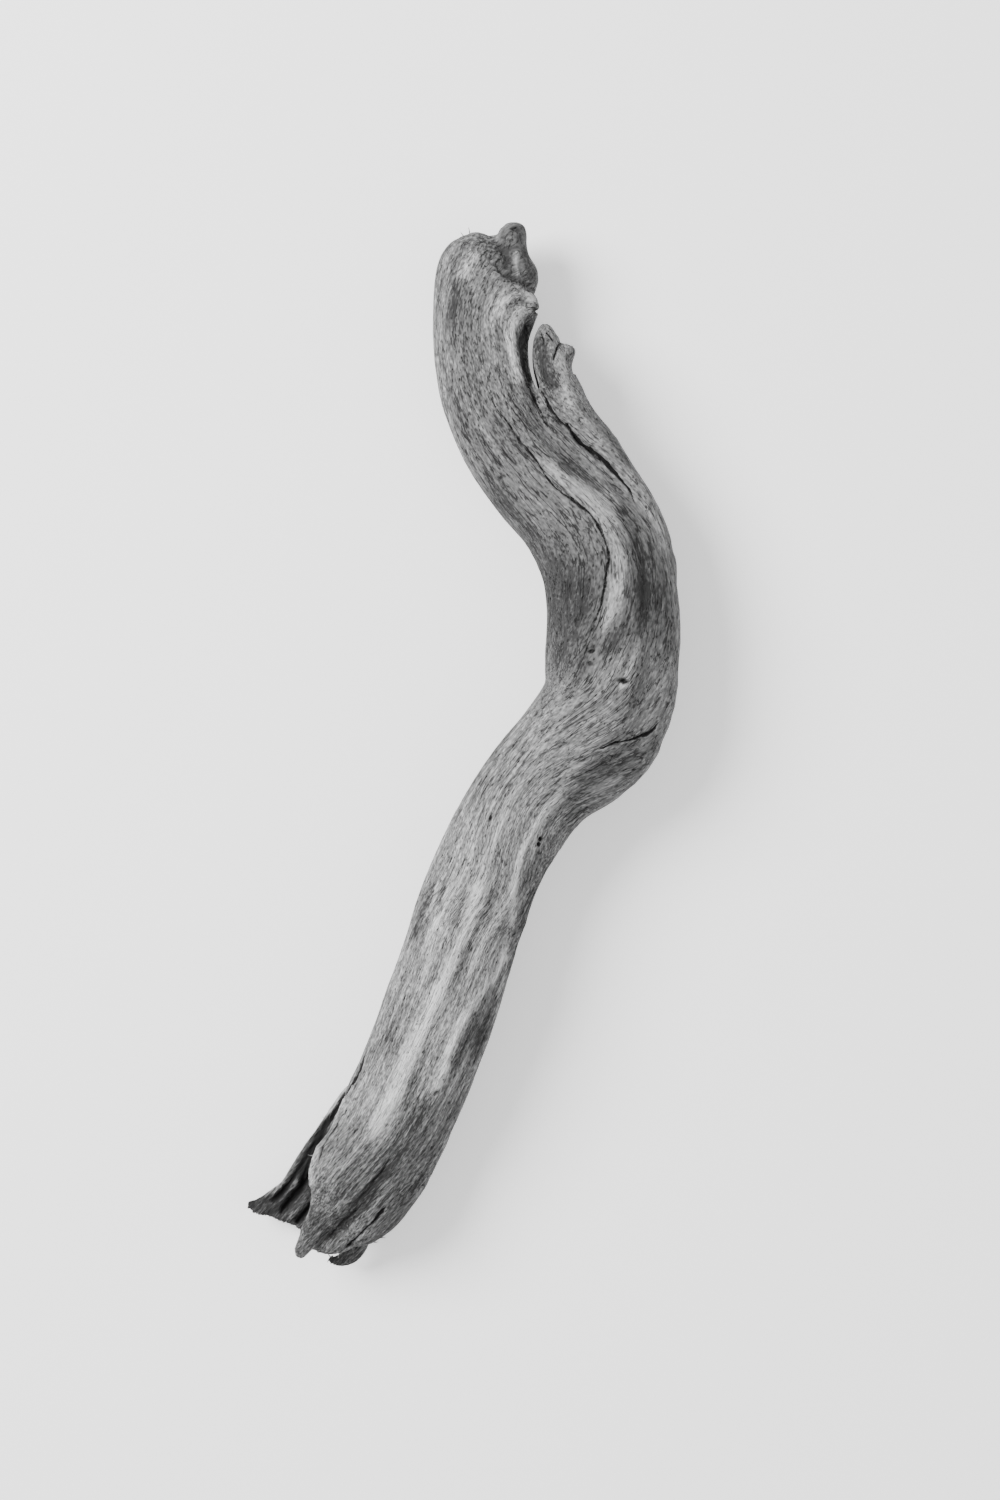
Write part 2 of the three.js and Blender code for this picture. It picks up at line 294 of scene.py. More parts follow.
PAINTED_SHADE_AND_DARKER_STROKES = (
    # Painted shade in valleys, on the split's wall and the lower trunk's steep right side, and other darker
    # bands.
    Stroke(((42, 127), (53, 120), (64, 112.5)), width=4, tone=-0.16, wander=1),
    Stroke(((69.3, 112), (74.5, 99), (80.5, 78), (81.5, 62), (80.5, 50)),
           width=7, height=-0.6, tone=-0.1, wander=1),
    Stroke(((30.2, 191.5), (27.2, 184), (26.6, 176), (28.8, 166), (31.4, 161)),
           width=3.4, height=-1.2, tone=-0.22, wander=0.5),
    Stroke(((35.5, 184), (35, 176), (37.4, 167), (42, 157)), width=6.5, tone=-0.26, wander=0.8),
    Stroke(((43.7, -48), (33, -64), (26.5, -82), (19, -108)), width=7, tone=-0.15, wander=1),
    Stroke(((14.5, -103), (6, -118), (1, -132), (-6, -146)), width=6, height=-0.5, tone=-0.11, wander=1.2),
    Stroke(((-14, -157), (-27, -177), (-39.6, -197.4), (-52, -212.6), (-64, -224.5)),
           width=7.5, height=-1.3, tone=-0.16, wander=0.8),
    Stroke(((-16, -190), (-27, -205.5), (-40, -219)), width=3.4, height=-0.5, tone=-0.08, wander=0.8),
    Stroke(((-18, -206), (-32, -217), (-45, -226)), width=4, tone=-0.1, wander=0.8),
    Stroke(((16, 226), (20, 220), (18.5, 213)), width=4, height=-0.6, tone=-0.14, wander=0.8),
    Stroke(((28.5, 226), (29.5, 217), (31.5, 209)), width=6, tone=-0.12),
    # Short darker streaks between the pale stripes of the lower trunk.
    Stroke(((-7.5, -61.5), (-11.5, -71)), width=2.4, height=-0.5, tone=-0.24, crack=0.3, wander=0.7),
    Stroke(((2, -62), (-1.5, -74), (-5.5, -80)), width=3.2, height=-0.4, tone=-0.2, wander=1),
    Stroke(((-13, -60), (-18, -74), (-23, -88)), width=3.6, height=-0.4, tone=-0.2, wander=1.2),
    Stroke(((14, -60), (10, -75), (3, -90), (-4, -108)), width=4.4, height=-0.3, tone=-0.14, wander=1.6),
    Stroke(((-26, -112), (-31, -128), (-36, -142)), width=3.6, height=-0.3, tone=-0.14, wander=1.2),
    Stroke(((-14, -128), (-20, -146), (-28, -164)), width=4, height=-0.3, tone=-0.14, wander=1.4),
)  # fmt: skip

HOLLOW_RIBS = (
    # The back wall's paler rim, then the gaps behind it with ribs between them; the gaps are painted black as
    # shade.
    Stroke(((-47.2, -150.8), (-64.8, -172.1), (-76.4, -193), (-81.4, -199.4), (-95, -204.6)),
           width=5, height=0.8, tone=0.3, layer=Layer.HOLLOW),
    Stroke(((-60, -166), (-66, -176), (-75.5, -192.4), (-83, -203.5), (-88.5, -208)),
           width=4, height=-2.4, tone=-0.45, crack=0.95, wander=0.6, layer=Layer.HOLLOW),
    Stroke(((-74, -196), (-79.9, -203), (-87.5, -210)),
           width=2.8, height=0.8, tone=0.16, wander=0.5, layer=Layer.HOLLOW),
    Stroke(((-62, -173), (-67.5, -183), (-71.5, -193), (-74, -200)),
           width=4.5, height=-1.2, tone=-0.5, crack=0.8, layer=Layer.HOLLOW),
    Stroke(((-66, -190), (-71.1, -197.5), (-77.4, -205), (-83.7, -213)),
           width=3.2, height=-2.6, tone=-0.4, crack=0.95, wander=0.6, layer=Layer.HOLLOW),
    Stroke(((-69.2, -202.5), (-74.9, -209.5), (-79.8, -215)),
           width=2.8, height=0.9, tone=0.14, wander=0.5, layer=Layer.HOLLOW),
    Stroke(((-67.3, -206.3), (-72.4, -212.6), (-76.6, -217.5)),
           width=2.2, height=-2, tone=-0.4, crack=0.9, wander=0.4, layer=Layer.HOLLOW),
    Stroke(((-64.8, -209.5), (-71.1, -217)), width=3, height=0.8, tone=0.12, wander=0.4, layer=Layer.HOLLOW),
)  # fmt: skip

PATCHES = (
    # Stained areas.
    Patch((46, 61), (34, 13), turn=90, tone=-0.22),
    Patch((33, 84), (18, 8), turn=125, tone=-0.1),
    Patch((20, 106), (22, 6), turn=128, tone=-0.12),
    Patch((77, 62), (16, 5), turn=80, tone=-0.14, height=-0.4),
    Patch((67, 47.5), (9, 4.5), turn=62, tone=-0.22, height=-0.3),
    Patch((86, 66), (24, 8), turn=98, tone=-0.12),
    Patch((69, -8), (17, 5), turn=22, tone=-0.13, height=-0.4),
    Patch((52, -25), (14, 4.5), turn=40, tone=-0.12),
    Patch((8, -128), (9, 3.5), turn=70, tone=-0.14, height=-0.4),
    Patch((2, 178), (34, 6), turn=93, tone=-0.1),
    Patch((-4, 196), (10, 3), turn=80, tone=-0.12),
    Patch((9, 128), (26, 6), turn=125, tone=-0.1),
    Patch((17, 142), (16, 5), turn=118, tone=-0.12),
    Patch((48, 130), (12, 4), turn=128, tone=-0.14),
    Patch((24, 228), (9, 6), turn=90, tone=-0.12),
    Patch((4, 226), (9, 4), turn=20, tone=-0.12),
    Patch((68, 132), (9, 3), turn=125, tone=-0.2),
    Patch((-46, -198), (30, 20), turn=55, tone=-0.08),
    Patch((-67, -215), (13, 6), turn=52, tone=-0.12),
    Patch((-20, -190), (30, 5), turn=66, tone=-0.06),
    Patch((-54, -234), (10, 4), tone=-0.14),
    # Bleached areas.
    Patch((61, 108), (14, 5), turn=128, tone=0.12),
    Patch((50, 84), (12, 4), turn=112, tone=0.08),
    Patch((38, 8), (26, 12), turn=45, tone=0.08),
    Patch((4, -72), (56, 18), turn=68, tone=0.14),
    Patch((-26, -140), (30, 14), turn=62, tone=0.06),
    # Weathered areas full of pits.
    Patch((13, 221), (9, 6), turn=60, tone=-0.06, pits=0.5),
    Patch((21, 213), (7, 4), turn=110, tone=-0.08, pits=0.5),
    Patch((11, -11), (16, 12), turn=40, tone=-0.04, pits=0.9),
    Patch((34, 12), (14, 8), turn=50, tone=-0.04, pits=0.7),
    Patch((2, -52), (30, 14), turn=65, pits=0.5),
    Patch((-15, -100), (34, 12), turn=70, pits=0.4),
    Patch((66, 28), (24, 16), turn=100, pits=0.4),
    Patch((40, 70), (30, 12), turn=95, pits=0.5),
    # Insect holes, dents and chips, with their black middles painted shade.
    Patch((34.6, -41.4), (0.9, 0.8), height=-2.5, crevice=1),
    Patch((34, -43.6), (0.8, 0.7), height=-2, crevice=1),
    Patch((12, -31.7), (1.6, 0.6), turn=60, height=-1.2, crevice=0.9),
    Patch((26, -2), (2.4, 1.2), turn=-40, height=-0.9, crevice=0.5),
    Patch((21, -17.5), (1.8, 1), turn=50, height=-0.9, crevice=0.5),
    Patch((34.7, 14.6), (2.5, 1.6), turn=60, height=-0.8, crevice=0.4),
    Patch((57, 42), (2.2, 1), turn=10, height=-1, crevice=0.8),
    Patch((57, 36.5), (2.2, 1), turn=-10, height=-0.9, crevice=0.7),
    Patch((71.4, 28.8), (2.4, 1), turn=-5, height=-2, crevice=1),
    Patch((71.6, 26.6), (1.8, 1), turn=20, height=0.6, tone=0.3),
    Patch((94, 89), (3, 1.2), turn=105, height=-0.9, crevice=0.4),
    Patch((-11.7, -154), (1.6, 1), turn=60, height=-0.9, crevice=0.7),
    Patch((-17.8, -197.3), (1, 0.8), turn=60, height=-0.8, crevice=0.8),
    Patch((23.5, 232.3), (2.6, 0.8), turn=-10, height=-1, crevice=0.6),
    Patch((17.8, 231.8), (2.4, 0.9), turn=75, height=-0.8, crevice=0.5),
    Patch((22, 227.4), (2.4, 2), height=0.6, tone=0.14),
    Patch((53, 143.5), (3, 1.4), turn=120, height=-0.6, crevice=0.3, pits=1),
    # Where the outline is a little flatter or fuller than the CAD solid's.
    Patch((-12.5, 219), (10, 5), turn=60, height=0.7, layer=Layer.ROUND),
    Patch((12, 233), (3.6, 3), height=-1.3, layer=Layer.ROUND),
    Patch((31.6, 222), (5, 2.4), turn=100, height=-1, layer=Layer.ROUND),
    # This notch's black middle is painted shade.
    Patch((33.8, 195.7), (2.4, 1), height=-1.6, crevice=0.8, layer=Layer.ROUND),
    Patch((55, 160), (6, 3), turn=120, height=0.4, layer=Layer.ROUND),
    Patch((76, 131), (16, 3.6), turn=123, height=-1.1, layer=Layer.ROUND),
    Patch((92, 97), (28, 5), turn=110, height=0.8, layer=Layer.ROUND),
    Patch((83, -9), (12, 6), turn=45, height=1.1, layer=Layer.ROUND),
    Patch((-25, -210), (16, 4), turn=42, height=-1, layer=Layer.ROUND),
    Patch((-53, -153.5), (8, 3), turn=60, height=0.8, layer=Layer.ROUND),
)  # fmt: skip

UNDERSIDE_CRACKS = (
    # Unseen from above: long drying cracks like those of the upper surface.
    Stroke(((14, 190), (12, 165), (26, 130), (50, 98), (62, 70)),
           width=1.5, height=-2, crack=0.9, wander=1, layer=Layer.UNDERSIDE),
    Stroke(((48, -8), (24, -40), (2, -90), (-14, -135), (-24, -160)),
           width=1.6, height=-2, crack=0.9, wander=1.2, layer=Layer.UNDERSIDE),
    Stroke(((30, -22), (4, -60), (-12, -105)),
           width=5, height=-1, tone=-0.1, wander=1.5, layer=Layer.UNDERSIDE),
)  # fmt: skip

STROKES = CRACKS + RIDGES + PAINTED_SHADE_AND_DARKER_STROKES + HOLLOW_RIBS + UNDERSIDE_CRACKS

FRAYS = (
    # On the head, on the foot's left edge, at the hook's tip and under the toes and the right lobe.
    Fray((0.2, 230.8), 112, 2.6, 20), Fray((2.9, 231.2), 84, 4.4, 25), Fray((-9.6, 220), 130, 2, -30),
    Fray((-62.4, -169.6), 120, 2.6, 60), Fray((-68.5, -186), 200, 2.4, -50), Fray((-69, -195), 230, 2.2, 40),
    Fray((-60.2, -232.6), 150, 4.4, -60), Fray((-60.6, -232.2), 205, 3, 60),
    Fray((-50, -226.2), 250, 3, 60), Fray((-55.5, -227.2), 230, 3.4, 50), Fray((-63, -227.6), 215, 3, -40),
    Fray((-41, -223.8), 320, 3, 70), Fray((-38.8, -221.8), 330, 4, 50), Fray((-44, -225), 290, 3, -60),
    Fray((-76, -216), 250, 2.4, 40), Fray((-84, -211.4), 240, 2.2, -50), Fray((-74.5, -225), 190, 2, 60),
)  # fmt: skip


def smooth_step(low: float, high: float, value: np.ndarray) -> np.ndarray:
    """Rises smoothly from 0 at low to 1 at high.

    Args:
        low: Where the rise starts.
        high: Where the rise ends.
        value: The values to map.

    Returns:
        The mapped values, between 0 and 1.
    """
    t = np.clip((value - low) / (high - low), 0, 1)
    return t * t * (3 - 2 * t)


def smooth_line(line: Sequence[Sequence[float]], step: float = LINE_STEP) -> np.ndarray:
    """Samples the Catmull-Rom curve through some points.

    Args:
        line: The points. Each one's first two numbers are its place in plan.
        step: The distance between samples, in millimetres.

    Returns:
        The samples, one a row.
    """
    points = np.array(line, float)
    ends = [2 * points[0] - points[1], *points, 2 * points[-1] - points[-2]]
    samples = []
    for a, b, c, d in zip(ends, ends[1:], ends[2:], ends[3:]):
        count = max(2, math.ceil(np.linalg.norm((c - b)[:2]) / step))
        t = np.linspace(0, 1, count, endpoint=False)[:, None]
        samples.append(b + 0.5 * t * (c - a + t * (2 * a - 5 * b + 4 * c - d + t * (3 * (b - c) + d - a))))
    return np.vstack([*samples, points[-1:]])


def nearest_sample(plan: np.ndarray, line: np.ndarray) -> ArrayPair:
    """Finds the sample of a line that is nearest to each point, some points at a time to save memory.

    Args:
        plan: The points' places in plan, one a row.
        line: The line's samples in plan, one a row.

    Returns:
        The nearest sample's row, and the way from that sample to the point.
    """
    chunks = np.array_split(plan, max(1, len(plan) // 20000))
    rows = [((chunk[:, None] - line[None]) ** 2).sum(2).argmin(1) for chunk in chunks]
    nearest = np.concatenate(rows)
    return nearest, plan - line[nearest]


def inside_box(plan: np.ndarray, line: np.ndarray, margin: float) -> np.ndarray:
    """Finds the points in the box round a line.

    Args:
        plan: The points' places in plan, one a row.
        line: The line's samples in plan, one a row.
        margin: How much wider than the line the box is on every side.

    Returns:
        The rows of the points inside.
    """
    return np.flatnonzero(((plan > line.min(0) - margin) & (plan < line.max(0) + margin)).all(1))


class LatticeNoise:
    """Smooth noise on a seeded lattice, between about -1 and 1."""

    SIZE = 256

    def __init__(self, seed: int) -> None:
        """Args:
            seed: The same seed always gives the same noise.
        """
        random = np.random.default_rng(seed)
        self.order = random.permutation(self.SIZE)
        slopes = random.normal(size=(self.SIZE, 3))
        self.slopes = slopes / np.linalg.norm(slopes, axis=1, keepdims=True)

    def at(self, points: np.ndarray) -> np.ndarray:
        """The noise at some points.

        Args:
            points: One point a row, in lattice cells.

        Returns:
            One value for each point.
        """
        cell = np.floor(points).astype(int)
        inside = points - cell
        fade = inside**3 * (inside * (inside * 6 - 15) + 10)
        total = np.zeros(len(points))
        for corner in itertools.product((0, 1), repeat=3):
            x, y, z = ((cell + corner) % self.SIZE).T
            key = self.order[(self.order[(self.order[x] + y) % self.SIZE] + z) % self.SIZE]
            rise = ((inside - corner) * self.slopes[key]).sum(1)
            total += rise * np.prod(np.where(corner, fade, 1 - fade), axis=1)
        return 1.7 * total

    def layered(self, points: np.ndarray, octaves: int) -> np.ndarray:
        """Noise with finer and weaker noise on top.

        Args:
            points: One point a row, in lattice cells.
            octaves: How many layers.

        Returns:
            One value for each point.
        """
        return sum(self.at(points * 2.03**i + 17 * i) * 0.55**i for i in range(octaves))


@dataclass
class Surface:
    """The wood's vertices while they are worked, in millimetres in the frame's axes.

    Attributes:
        places: One vertex a row.
        normals: Its outward direction.
        along: How far down its fibre it is, from the head.
        across: Which fibre it is on: where that fibre starts at the head, left to right.
        heading: The fibre's direction in plan, from head to foot.
        lift: How far each vertex is to move outwards.
        tone: How light the wood is there.
        crevice: How dark it is painted there, as shade in holes, pits and gaps between fibres.
        crack: How near the middle of a crack it is.
        pits: How pitted the wood is there.
    """

    places: np.ndarray
    normals: np.ndarray
    along: np.ndarray
    across: np.ndarray
    heading: np.ndarray
    lift: np.ndarray = field(init=False)
    tone: np.ndarray = field(init=False)
    crevice: np.ndarray = field(init=False)
    crack: np.ndarray = field(init=False)
    pits: np.ndarray = field(init=False)

    EVEN_WIDTH = 25.0  # the half width of the trunk in the fibres' own measure
    TRUNK_STEP = 1.0
    HEAD_ROW = 2  # the row of TRUNK_LINE beside the lip

    def __post_init__(self) -> None:
        """Starts with no lift and no marks, and the average tone everywhere."""
        count = len(self.places)
        self.tone = np.full(count, AVERAGE_TONE)
        self.lift, self.crevice, self.crack, self.pits = np.zeros((4, count))

    @classmethod
    def of(cls, places: np.ndarray, normals: np.ndarray) -> Surface:
        """Measures where each vertex lies along and across the fibres.

        Args:
            places: One vertex a row, in millimetres.
            normals: Its outward direction.

        Returns:
            The surface, with nothing on it yet.
        """
        line = smooth_line(TRUNK_LINE, cls.TRUNK_STEP)
        steps = np.linalg.norm(np.diff(line[:, :2], axis=0), axis=1)
        distance = np.concatenate([[0], np.cumsum(steps)])
        heading = np.gradient(line[:, :2], axis=0)
        heading /= np.linalg.norm(heading, axis=1, keepdims=True)
        nearest, offset = nearest_sample(places[:, :2], line[:, :2])
        ahead = heading[nearest]
        rightwards = np.column_stack([-ahead[:, 1], ahead[:, 0]])
        along = distance[nearest] + (offset * ahead).sum(1)
        across = (offset * rightwards).sum(1) * cls.EVEN_WIDTH / line[nearest, 3]
        along, across = cls._curled(places, along, across)
        across, slope = cls._turned(along, across)
        flow = ahead + rightwards * slope[:, None]
        return cls(places, normals, along, across, flow / np.linalg.norm(flow, axis=1, keepdims=True))

    @classmethod
    def _curled(cls, places: np.ndarray, along: np.ndarray, across: np.ndarray) -> ArrayPair:
        """Bends the head's fibres round the lip.

        Args:
            places: One vertex a row, in millimetres.
            along: Each vertex's distance down the trunk's line.
            across: Its distance to the right of that line.

        Returns:
            The two distances, changed in the head.
        """
        x, y = places[:, 0], places[:, 1]
        left, above = LIP_CENTRE[0] - x, y - LIP_CENTRE[1]
        start = np.hypot(left, above)
        for _ in range(8):
            start = np.sqrt(left**2 + np.minimum(1, LIP_CURL / np.maximum(start, 1)) * above**2)
        on_prong = smooth_step(30, 34, x) * smooth_step(197, 193, y)
        near = smooth_step(0, 3, above) * (1 - on_prong)
        longer = np.hypot(above, start - left) - above
        scale = cls.EVEN_WIDTH / TRUNK_LINE[cls.HEAD_ROW][-1]
        return along - near * longer, across + near * (left - start) * scale

    @classmethod
    def _turned(cls, along: np.ndarray, across: np.ndarray) -> ArrayPair:
        """Follows each fibre back to the head, as FIBRE_TURN says it runs.

        Args:
            along: Each vertex's distance down the trunk's line.
            across: Its distance to the right of that line.

        Returns:
            Where its fibre starts at the head, and how fast that fibre moves to the right.
        """
        table = np.array(FIBRE_TURN, float)
        stops = np.arange(table[0, 0], table[-1, 0] + 1)
        left, right = (np.interp(stops, table[:, 0], table[:, side]) for side in (1, 2))
        middle, spread = (left + right) / 2, (right - left) / (2 * cls.EVEN_WIDTH)
        drift, width = [0.0], [1.0]
        for one_middle, one_spread in zip(middle[:-1], spread[:-1]):
            drift.append(drift[-1] * (1 + one_spread) + one_middle)
            width.append(width[-1] * (1 + one_spread))
        start = (across - np.interp(along, stops, drift)) / np.interp(along, stops, width)
        slope = np.interp(along, stops, middle) + np.interp(along, stops, spread) * across
        return start, slope

    def fibre(self, width: float, length: float) -> np.ndarray:
        """Noise coordinates for cells that are drawn out along the fibres.

        Args:
            width: A cell's size across the fibres, in millimetres.
            length: A cell's size along them.

        Returns:
            One point for each vertex, in cells.
        """
        return np.column_stack([self.across / width, self.places[:, 2] / width, self.along / length])

    def on(self, layer: Layer) -> np.ndarray:
        """How surely each vertex is on one of the wood's surfaces.

        Args:
            layer: The surface asked for.

        Returns:
            A weight between 0 and 1 for each vertex.
        """
        height, up = self.places[:, 2], self.normals[:, 2]
        if layer is Layer.FRONT:
            return smooth_step(17, 24, height) * smooth_step(-0.25, 0.15, up)
        if layer is Layer.HOLLOW:
            return smooth_step(21, 16, height) * smooth_step(0, 0.3, up)
        if layer is Layer.ROUND:
            return np.ones(len(height))
        return smooth_step(0.1, -0.3, up)

    def add(self, mark: Stroke | Patch, where: np.ndarray, strength: np.ndarray) -> None:
        """Adds a mark's height and tone.

        Args:
            mark: The stroke or patch.
            where: The vertices it touches.
            strength: How strongly it touches each, from 0 to 1.
        """
        self.lift[where] += mark.height * strength
        self.tone[where] += mark.tone * strength


@functools.cache
def unit() -> float:
    """One design millimetre in metres, on wood of the frame's size."""
    low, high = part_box(NODE)
    return (high.y - low.y) / DESIGN_LENGTH


def store(mesh: bpy.types.Mesh, fibre: np.ndarray, values: dict[str, np.ndarray]) -> None:
    """Keeps on a mesh what its material reads.

    Args:
        mesh: The mesh.
        fibre: Each vertex's fibre coordinates, in millimetres.
        values: Its other values by name, each kept between 0 and 1.
    """
    vector = mesh.attributes.new("fibre", "FLOAT_VECTOR", "POINT")
    vector.data.foreach_set("vector", (fibre * MM).astype(np.float32).ravel())
    for name, numbers in values.items():
        attribute = mesh.attributes.new(name, "FLOAT", "POINT")
        attribute.data.foreach_set("value", np.clip(numbers, 0, 1).astype(np.float32))


@dataclass
class Driftwood:
    """The whole piece of wood.

    Attributes:
        cad: The CAD node that it stands for.
        cell: The spacing of its vertices, in millimetres.
        rounding: How many smoothing steps round the CAD solid's facets and joints.
        relief: Height of the broad ridges that follow the fibres, in millimetres.
        fleck: Height of the short ridges between them.
        grain: Height of the fine grain.
        pit_depth: Depth of the pits.
        splinter: How far single fibres stick out of a broken end.
        crack_reach: How far to each side a crack is felt, as a share of its width.
        split_widening: How far each wall of the prong's split moves back, in millimetres.
    """

    cad: bpy.types.Object
    cell: float = 0.58
    rounding: int = 22
    relief: float = 0.3
    fleck: float = 0.16
    grain: float = 0.1
    pit_depth: float = 0.5
    splinter: float = 0.9
    crack_reach: float = 1.2
    split_widening: float = 0.4

    THINNEST = 2.0  # the least width, in millimetres, that a crack's reach is worked out from
    STROKE_REACH = 1.7  # how far from its line a stroke is felt, as a share of its width
    PATCH_REACH = 6.0  # how far out a patch is felt: the square of the distance in its radii
    PATCH_EDGE = 1.3  # how sharp a patch's edge is
    PATCH_WANDER = 0.4  # how far a patch's edge wanders, in millimetres
    SPLIT_REACH = 3.0  # how far from its line the prong's split is looked for, in millimetres

    def build(self) -> bpy.types.Object:
        """Makes the finished mesh.

        Returns:
            The new object, linked to the scene, with the attributes that its material reads.
        """
        wood = self._remeshed()
        surface = self._surface(wood.data)
        self._carve(surface)
        self._move(wood.data, surface)
        surface = self._resumed(wood.data, surface)
        self._weather(surface)
        self._move(wood.data, surface)
        self._store(wood.data, surface)
        LOG.info("wood: %d vertices, %d faces", len(wood.data.vertices), len(wood.data.polygons))
        return wood

    def _remeshed(self) -> bpy.types.Object:
        """A fine, rounded copy of the CAD solid."""
        wood = bpy.data.objects.new("driftwood_wood", self.cad.data.copy())
        bpy.context.scene.collection.objects.link(wood)
        wood.data.materials.clear()
        self._adjust(wood.data)
        remesh = wood.modifiers.new("fine", "REMESH")
        remesh.mode = "VOXEL"
        remesh.voxel_size = self.cell * unit()
        remesh.use_smooth_shade = True
        rounding = wood.modifiers.new("round", "SMOOTH")
        rounding.iterations = self.rounding
        rounding.factor = 0.5
        evaluated = wood.evaluated_get(bpy.context.evaluated_depsgraph_get())
        mesh = bpy.data.meshes.new_from_object(evaluated)
        wood.modifiers.clear()
        rough, wood.data = wood.data, mesh
        bpy.data.meshes.remove(rough)
        mesh.name = wood.name
        return wood

    def _adjust(self, mesh: bpy.types.Mesh) -> None:
        """Parts the walls of the prong's split, and nudges the parts that need it."""
        places, _ = self._arrays(mesh)
        _, away = nearest_sample(places[:, :2], smooth_line(SPLIT_LINE))
        gap = np.linalg.norm(away, axis=1, keepdims=True)
        places[:, :2] += away / np.maximum(gap, 0.1) * self.split_widening * smooth_step(3.5, 2, gap)
        for nudge in NUDGES:
            apart = np.linalg.norm(places[:, :2] - nudge.centre, axis=1) / nudge.radius
            share = np.exp(-(apart**4)) * smooth_step(nudge.above - 2.5, nudge.above + 2.5, places[:, 2])
            places[:, :2] += share[:, None] * nudge.move
        mesh.vertices.foreach_set("co", (places * unit()).ravel())
        mesh.update()

    def _arrays(self, mesh: bpy.types.Mesh) -> ArrayPair:
        """A mesh's vertices in design millimetres, and their normals."""
        places = np.empty(len(mesh.vertices) * 3)
        mesh.vertices.foreach_get("co", places)
        normals = np.empty(len(mesh.vertices) * 3)
        mesh.vertex_normals.foreach_get("vector", normals)
        return places.reshape(-1, 3) / unit(), normals.reshape(-1, 3)

    def _surface(self, mesh: bpy.types.Mesh) -> Surface:
        """The remeshed wood, ready to be worked."""
        return Surface.of(*self._arrays(mesh))

    def _resumed(self, mesh: bpy.types.Mesh, before: Surface) -> Surface:
        """The moved wood, with the tones that it has so far."""
        places, normals = self._arrays(mesh)
        after = Surface.of(places, normals)
        after.tone, after.crevice = before.tone, before.crevice
        after.crack, after.pits = before.crack, before.pits
        return after

    def _move(self, mesh: bpy.types.Mesh, surface: Surface) -> None:
        """Moves the vertices outwards by their lift, and no lower than the floor."""
        worn_flat = smooth_step(0, 1.5, surface.places[:, 2])
        lift = surface.lift * np.where(surface.normals[:, 2] < -0.7, worn_flat, 1)
        places = surface.places + surface.normals * lift[:, None]
        places[:, 2] = np.maximum(places[:, 2], 0)
        mesh.vertices.foreach_set("co", (places * unit()).ravel())
        mesh.update()

    def _carve(self, surface: Surface) -> None:
        """Cuts the cracks, ridges, ribs, dents and holes that have a place of their own."""
        wobble = LatticeNoise(Seed.WOBBLE)
        shift = np.column_stack([wobble.layered(surface.fibre(2.5, 9) + k * 31, 3) for k in range(2)])
        for stroke in STROKES:
            self._cut_stroke(surface, stroke, shift)
        for patch in PATCHES:
            self._lay_patch(surface, patch, shift)
        surface.lift *= 1 - self._split_walls(surface)

    def _cut_stroke(self, surface: Surface, stroke: Stroke, shift: np.ndarray) -> None:
        """Works one stroke into the surface.

        Args:
            surface: The wood.
            stroke: The stroke.
            shift: How each vertex's place wanders, in plan.
        """
        line = smooth_line(stroke.line)
        reach = self.crack_reach * max(self.THINNEST, stroke.width)
        margin = max(self.STROKE_REACH * stroke.width, reach if stroke.crack else 0)
        where = inside_box(surface.places[:, :2], line, margin)
        where = where[surface.on(stroke.layer)[where] > 0]
        moved = surface.places[where, :2] + shift[where] * stroke.wander
        nearest, away = nearest_sample(moved, line)
        share = nearest / (len(line) - 1)
        ends = smooth_step(-0.02, 0.14, np.minimum(share, 1 - share)) * surface.on(stroke.layer)[where]
        slope = np.clip(0.3 + surface.normals[where, 2], 0.3, 1) if stroke.crack else 1
        gap = np.linalg.norm(away, axis=1) / slope
        surface.add(stroke, where, np.exp(-((2 * gap / stroke.width) ** 2)) * ends)
        # How near a crack's middle each vertex is, so that the middle is painted black as shade.
        closeness = np.clip(1 - gap / reach, 0, 1) * stroke.crack * (0.7 + 0.3 * ends) * (ends > 0)
        surface.crack[where] = np.maximum(surface.crack[where], closeness)

    def _lay_patch(self, surface: Surface, patch: Patch, shift: np.ndarray) -> None:
        """Works one patch into the surface.

        Args:
            surface: The wood.
            patch: The patch.
            shift: How each vertex's place wanders, in plan.
        """
        offset = surface.places[:, :2] + self.PATCH_WANDER * shift - patch.centre
        turn = math.radians(patch.turn)
        turned = offset @ np.array([[math.cos(turn), -math.sin(turn)], [math.sin(turn), math.cos(turn)]])
        apart = ((turned / patch.radii) ** 2).sum(1)
        where = np.flatnonzero(apart < self.PATCH_REACH)
        strength = np.exp(-(apart[where] ** self.PATCH_EDGE)) * surface.on(patch.layer)[where]
        surface.add(patch, where, strength)
        # The crevice paints the patch's middle dark, as shade in a hole or dent.
        surface.crevice[where] = np.maximum(surface.crevice[where], patch.crevice * strength)
        surface.pits[where] = np.maximum(surface.pits[where], patch.pits * strength)

    def _split_walls(self, surface: Surface) -> np.ndarray:
        """How surely each vertex is on one of the two walls of the prong's split.

        Args:
            surface: The wood.

        Returns:
            A weight between 0 and 1 for each vertex.
        """
        line = smooth_line(SPLIT_LINE)
        plan = surface.places[:, :2]
        where = inside_box(plan, line, self.SPLIT_REACH)
        _, away = nearest_sample(plan[where], line)
        gap = np.linalg.norm(away, axis=1)
        facing = -(surface.normals[where, :2] * away).sum(1) / np.maximum(gap, 1e-6)
        walls = np.zeros(len(plan))
        walls[where] = smooth_step(2.6, 1.4, gap) * smooth_step(0.1, 0.5, facing)
        return walls

